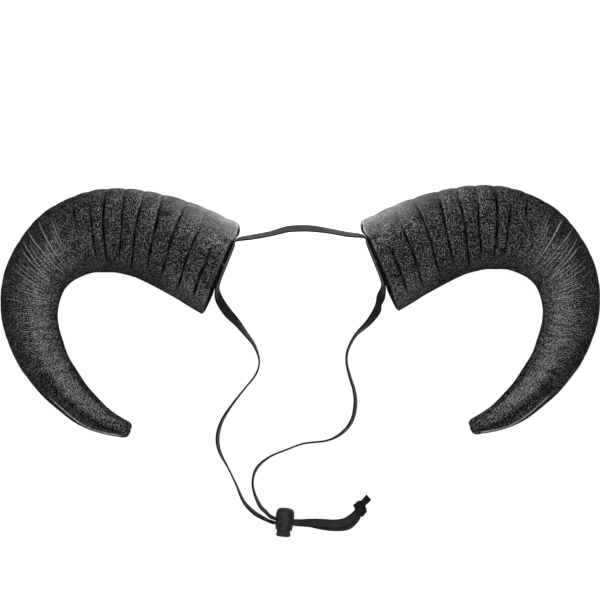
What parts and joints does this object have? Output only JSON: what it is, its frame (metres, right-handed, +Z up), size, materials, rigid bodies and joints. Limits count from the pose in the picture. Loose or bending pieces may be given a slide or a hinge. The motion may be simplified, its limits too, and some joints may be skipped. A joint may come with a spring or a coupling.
{
  "type": "costume ox horn headband",
  "caption": "Padded curved ox horns on a flat elastic that runs along both horn bases and closes under the chin in a spring cord lock, lying flat.",
  "frame": {"origin": "on the surface that it lies on, below the middle of the pair of horns", "axes": "+X from the horn at the left of the view to the other horn, +Y towards the crown of the head, +Z up from the surface"},
  "size_m": [0.4192, 0.2464, 0.0584],
  "materials": {
    "horn_fabric": "matte felt with pale fibres",
    "elastic": "fine woven satin",
    "lock_plastic": "moulded, matte"
  },
  "bodies": {
    "headband": {"horn_left": "horn_fabric", "horn_right": "horn_fabric", "elastic_strap": "elastic", "cord_lock_barrel": "lock_plastic", "strap_knot": "elastic"},
    "plunger": {"cord_lock_plunger": "lock_plastic"}
  },
  "joints": [
    {"name": "plunger_press", "type": "slide", "parent": "headband", "child": "plunger", "axis": [0.0958, 0.9954, 0], "range_m": [0, 0.002], "stiffness_N_per_m": 400, "springref_m": -0.005}
  ]
}
